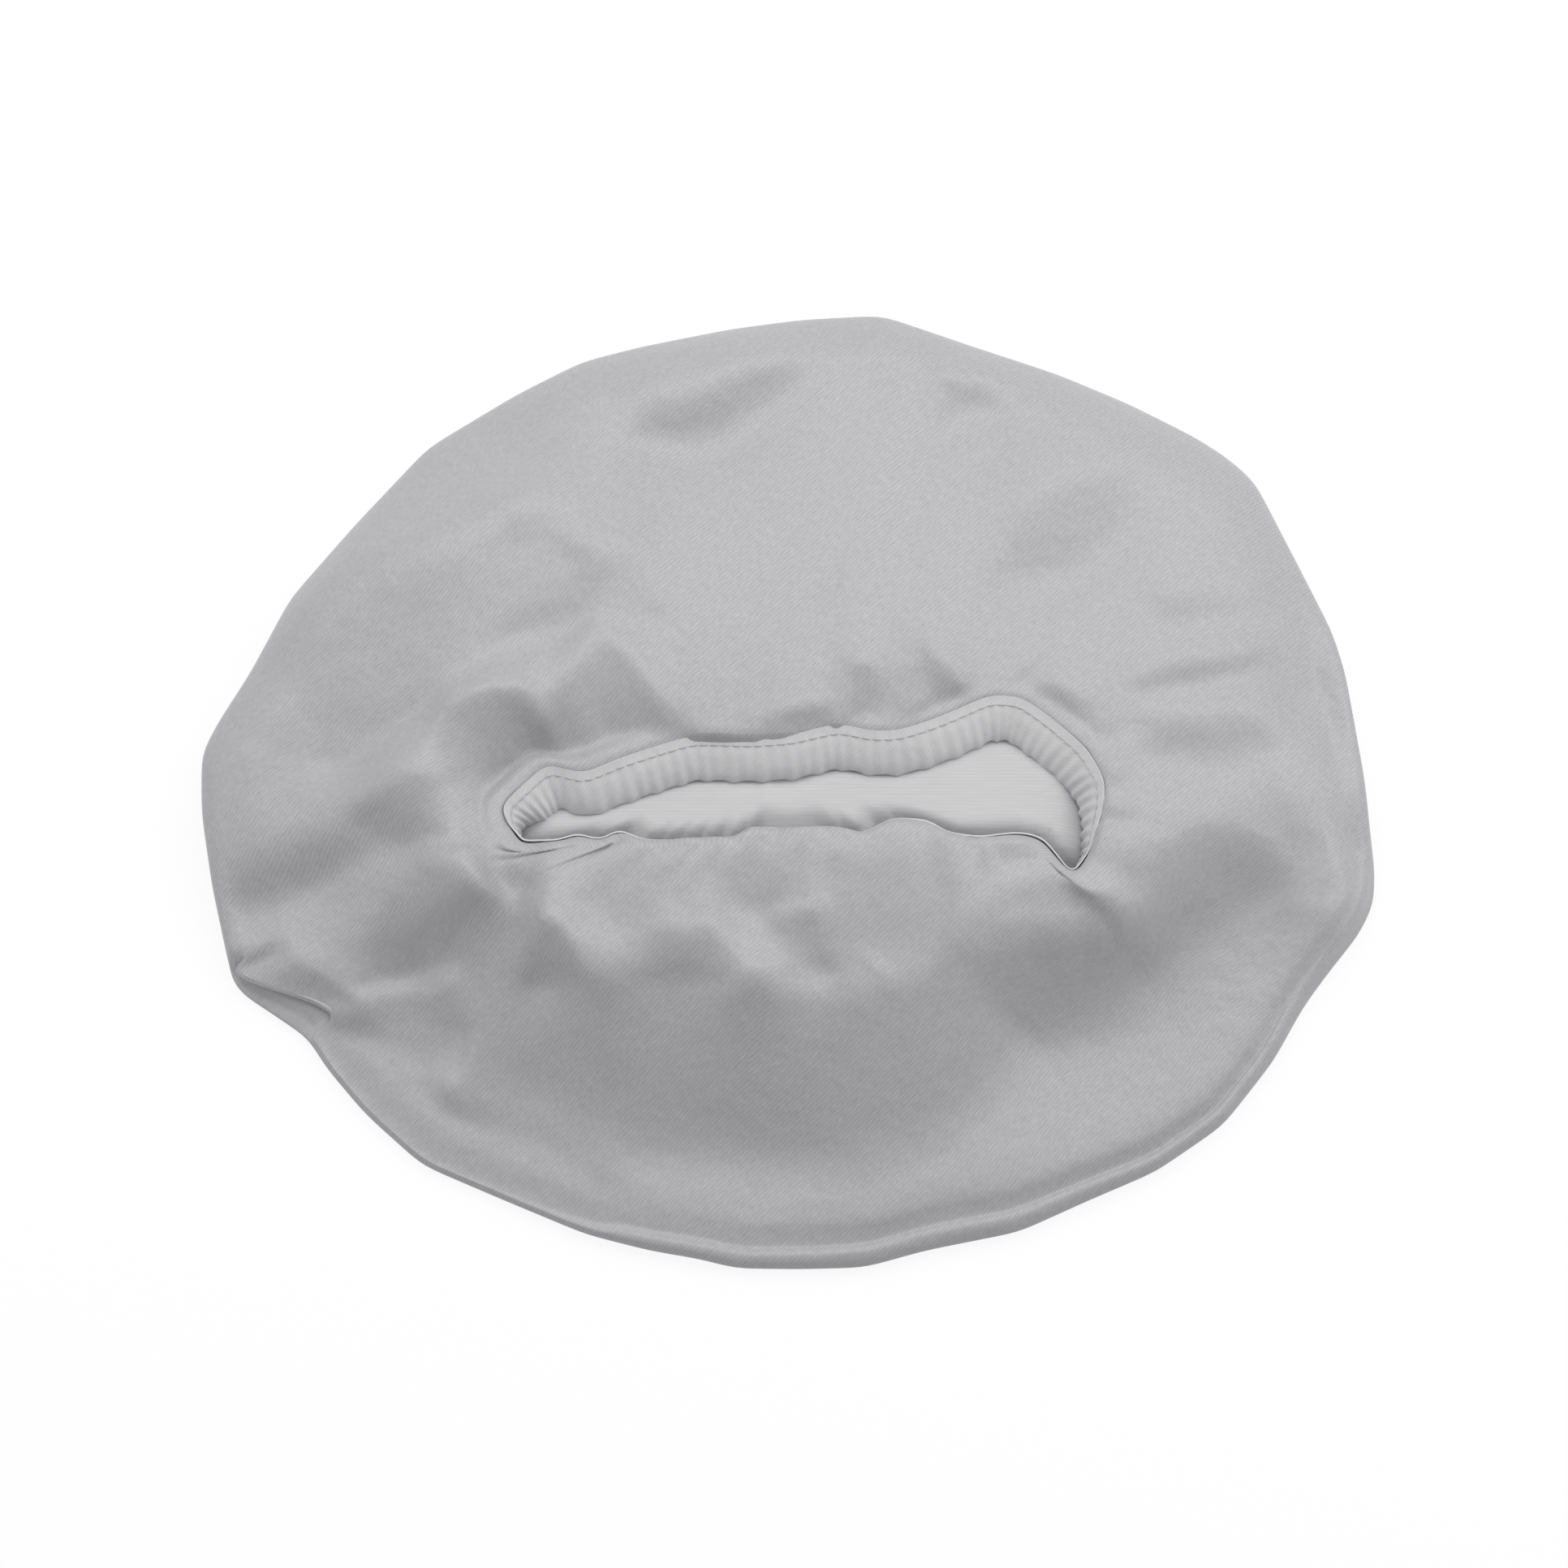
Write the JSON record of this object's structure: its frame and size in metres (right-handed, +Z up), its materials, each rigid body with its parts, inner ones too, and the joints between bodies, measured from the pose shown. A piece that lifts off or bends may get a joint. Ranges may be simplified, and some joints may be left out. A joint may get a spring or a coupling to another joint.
{
  "type": "shower cap",
  "caption": "Puffed oval shower cap in grey satin with a pale lining, lying crown down with its gathered elastic mouth open to take a head.",
  "frame": {"origin": "on the resting surface, under the middle of the cap's outline", "axes": "+X along the slot of the mouth, +Y to the back of the cap, away from the camera, +Z up out of the mouth"},
  "size_m": [0.3, 0.254, 0.035],
  "materials": {
    "satin": "grey polyester satin with a fine twill line",
    "film": "thin translucent waterproof film",
    "lining": "pale grey woven lining",
    "casing": "pale woven tape",
    "elastic": "white woven elastic",
    "thread": "grey polyester sewing thread"
  },
  "bodies": {
    "root": {"outer_shell": "satin", "waterproof_film": "film", "inner_lining": "lining", "hem_casing": "casing", "elastic_band": "elastic", "elastic_join_tack": "thread", "needle_thread": "thread", "bobbin_thread": "thread"}
  },
  "joints": []
}
